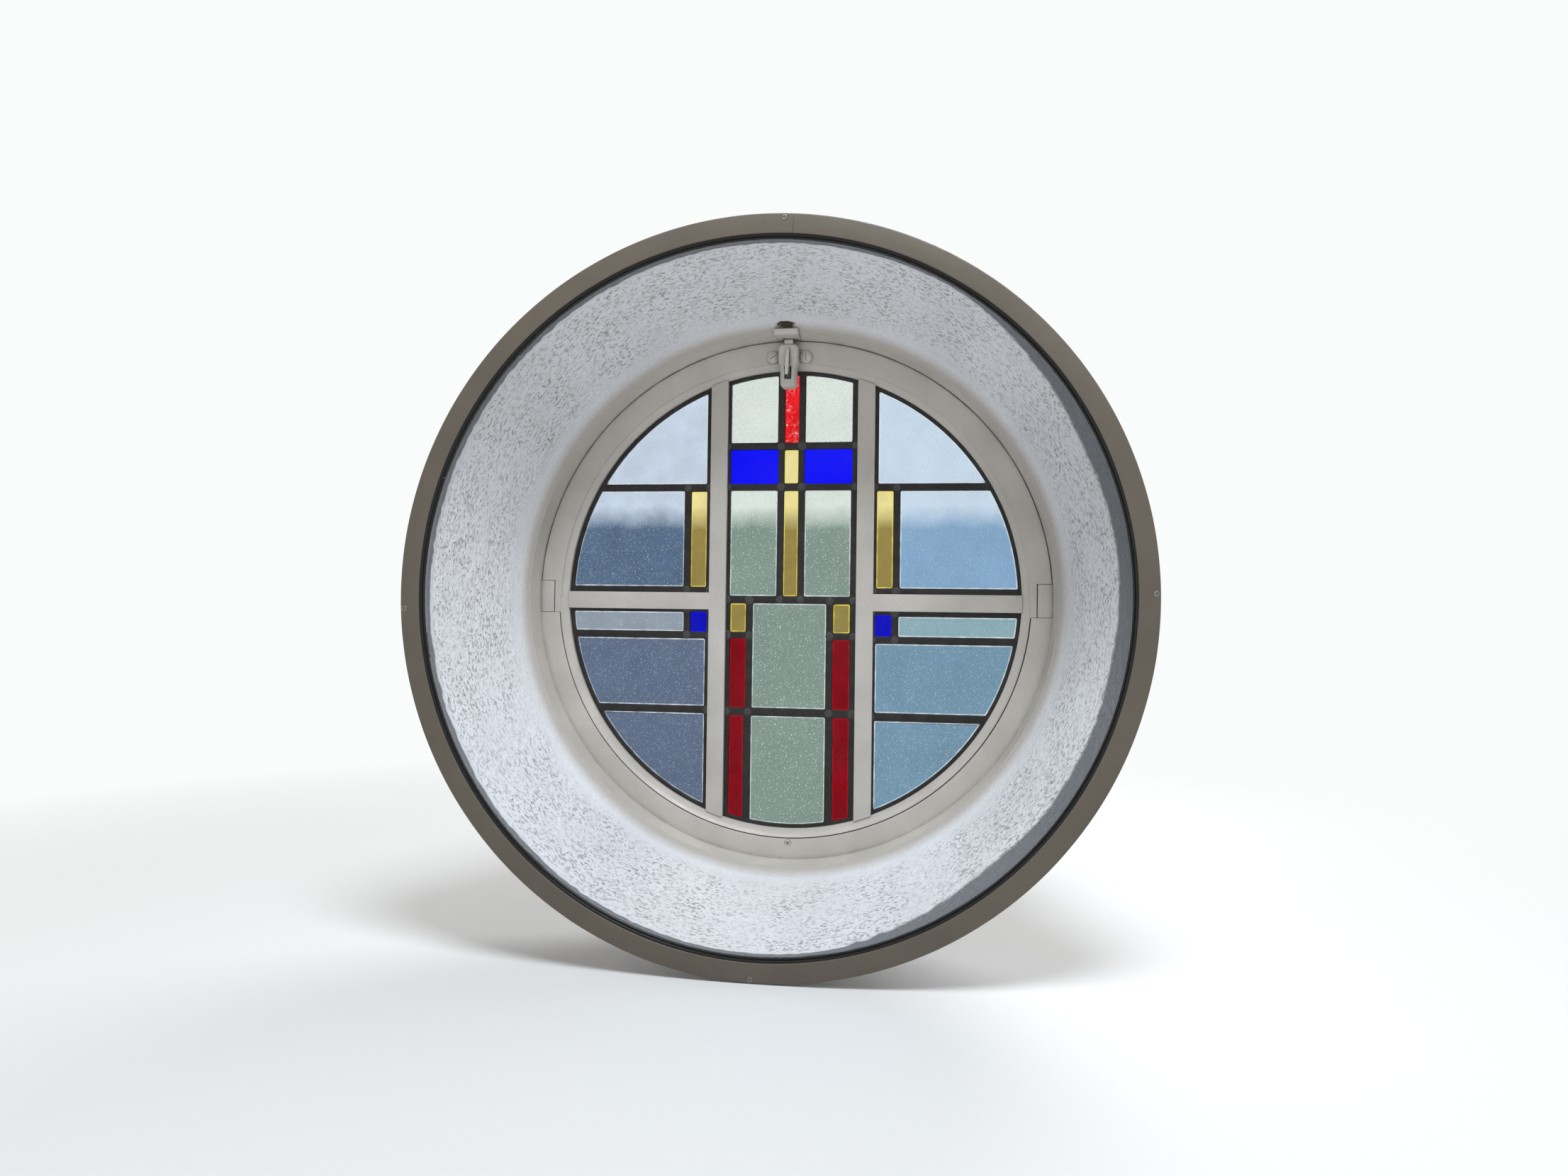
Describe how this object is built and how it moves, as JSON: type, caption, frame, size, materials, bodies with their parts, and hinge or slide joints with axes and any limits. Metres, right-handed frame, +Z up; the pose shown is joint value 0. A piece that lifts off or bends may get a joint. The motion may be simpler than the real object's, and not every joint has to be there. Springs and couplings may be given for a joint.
{
  "type": "round pivot window",
  "caption": "Round leaded window: pivoting sash with a spring latch, in a ring frame at the end of a splayed reveal with an inner pane.",
  "frame": {"origin": "middle of the sash's pivot axis, on the window's own axis", "axes": "+Z up, +Y outdoors along the window's axis, +X to the right as seen from the room; the pivot axis is X"},
  "size_m": [1, 0.276, 0.9999],
  "materials": {
    "frame_paint": "semi-gloss off-white paint, grimy in the corners",
    "ring_paint": "matt off-white paint",
    "latch_paint": "painted over with the sash",
    "plaster": "rough white plaster, smooth at both ends",
    "gasket_rubber": "glossy black",
    "pane_glass": "clear with fine scratches",
    "clear_glass": "slightly wavy and dusty",
    "red_glass": "deep ruby",
    "blue_glass": "saturated cobalt",
    "yellow_glass": "warm amber",
    "lead": "dull dark lead with solder at the crossings",
    "putty": "painted linseed putty",
    "screw_steel": "dull zinc",
    "bush_brass": "turned",
    "spring_steel": "plain wire"
  },
  "bodies": {
    "root": {"outer_frame": "frame_paint", "inner_stop": "frame_paint", "outer_stop": "frame_paint", "stop_screw": "screw_steel", "pivot_block_left": "frame_paint", "pivot_block_right": "frame_paint", "pivot_pins": "screw_steel", "latch_keep": "latch_paint", "reveal_lining": "plaster", "room_ring": "ring_paint", "ring_gasket": "gasket_rubber", "inner_pane": "pane_glass", "ring_screws": "screw_steel"},
    "sash": {"bar_left": "frame_paint", "bar_right": "frame_paint", "crossbar_left": "frame_paint", "crossbar_right": "frame_paint", "glass_bottom_left_blue": "blue_glass", "glass_bottom_left_clear": "clear_glass", "glass_bottom_right_blue": "blue_glass", "glass_bottom_right_clear": "clear_glass", "glass_centre_blue": "blue_glass", "glass_centre_clear": "clear_glass", "glass_centre_red": "red_glass", "glass_centre_yellow": "yellow_glass", "glass_top_left_clear": "clear_glass", "glass_top_left_yellow": "yellow_glass", "glass_top_right_clear": "clear_glass", "glass_top_right_yellow": "yellow_glass", "glazing_putty": "putty", "latch_body": "latch_paint", "latch_screws": "latch_paint", "latch_spring": "spring_steel", "leads_bottom_left": "lead", "leads_bottom_right": "lead", "leads_centre": "lead", "leads_top_left": "lead", "leads_top_right": "lead", "pivot_bushes": "bush_brass", "sash_ring": "frame_paint"},
    "bolt": {"latch_bolt": "latch_paint"}
  },
  "joints": [
    {"name": "sash_pivot", "type": "hinge", "parent": "root", "child": "sash", "pos_m": [0, 0, 0], "axis": [1, 0, 0], "range_deg": [0, 30]},
    {"name": "latch_slide", "type": "slide", "parent": "sash", "child": "bolt", "axis": [0, 0, 1], "range_m": [0, 0.008], "stiffness_N_per_m": 120, "springref_m": 0.012, "deforming": ["latch_spring"]}
  ]
}
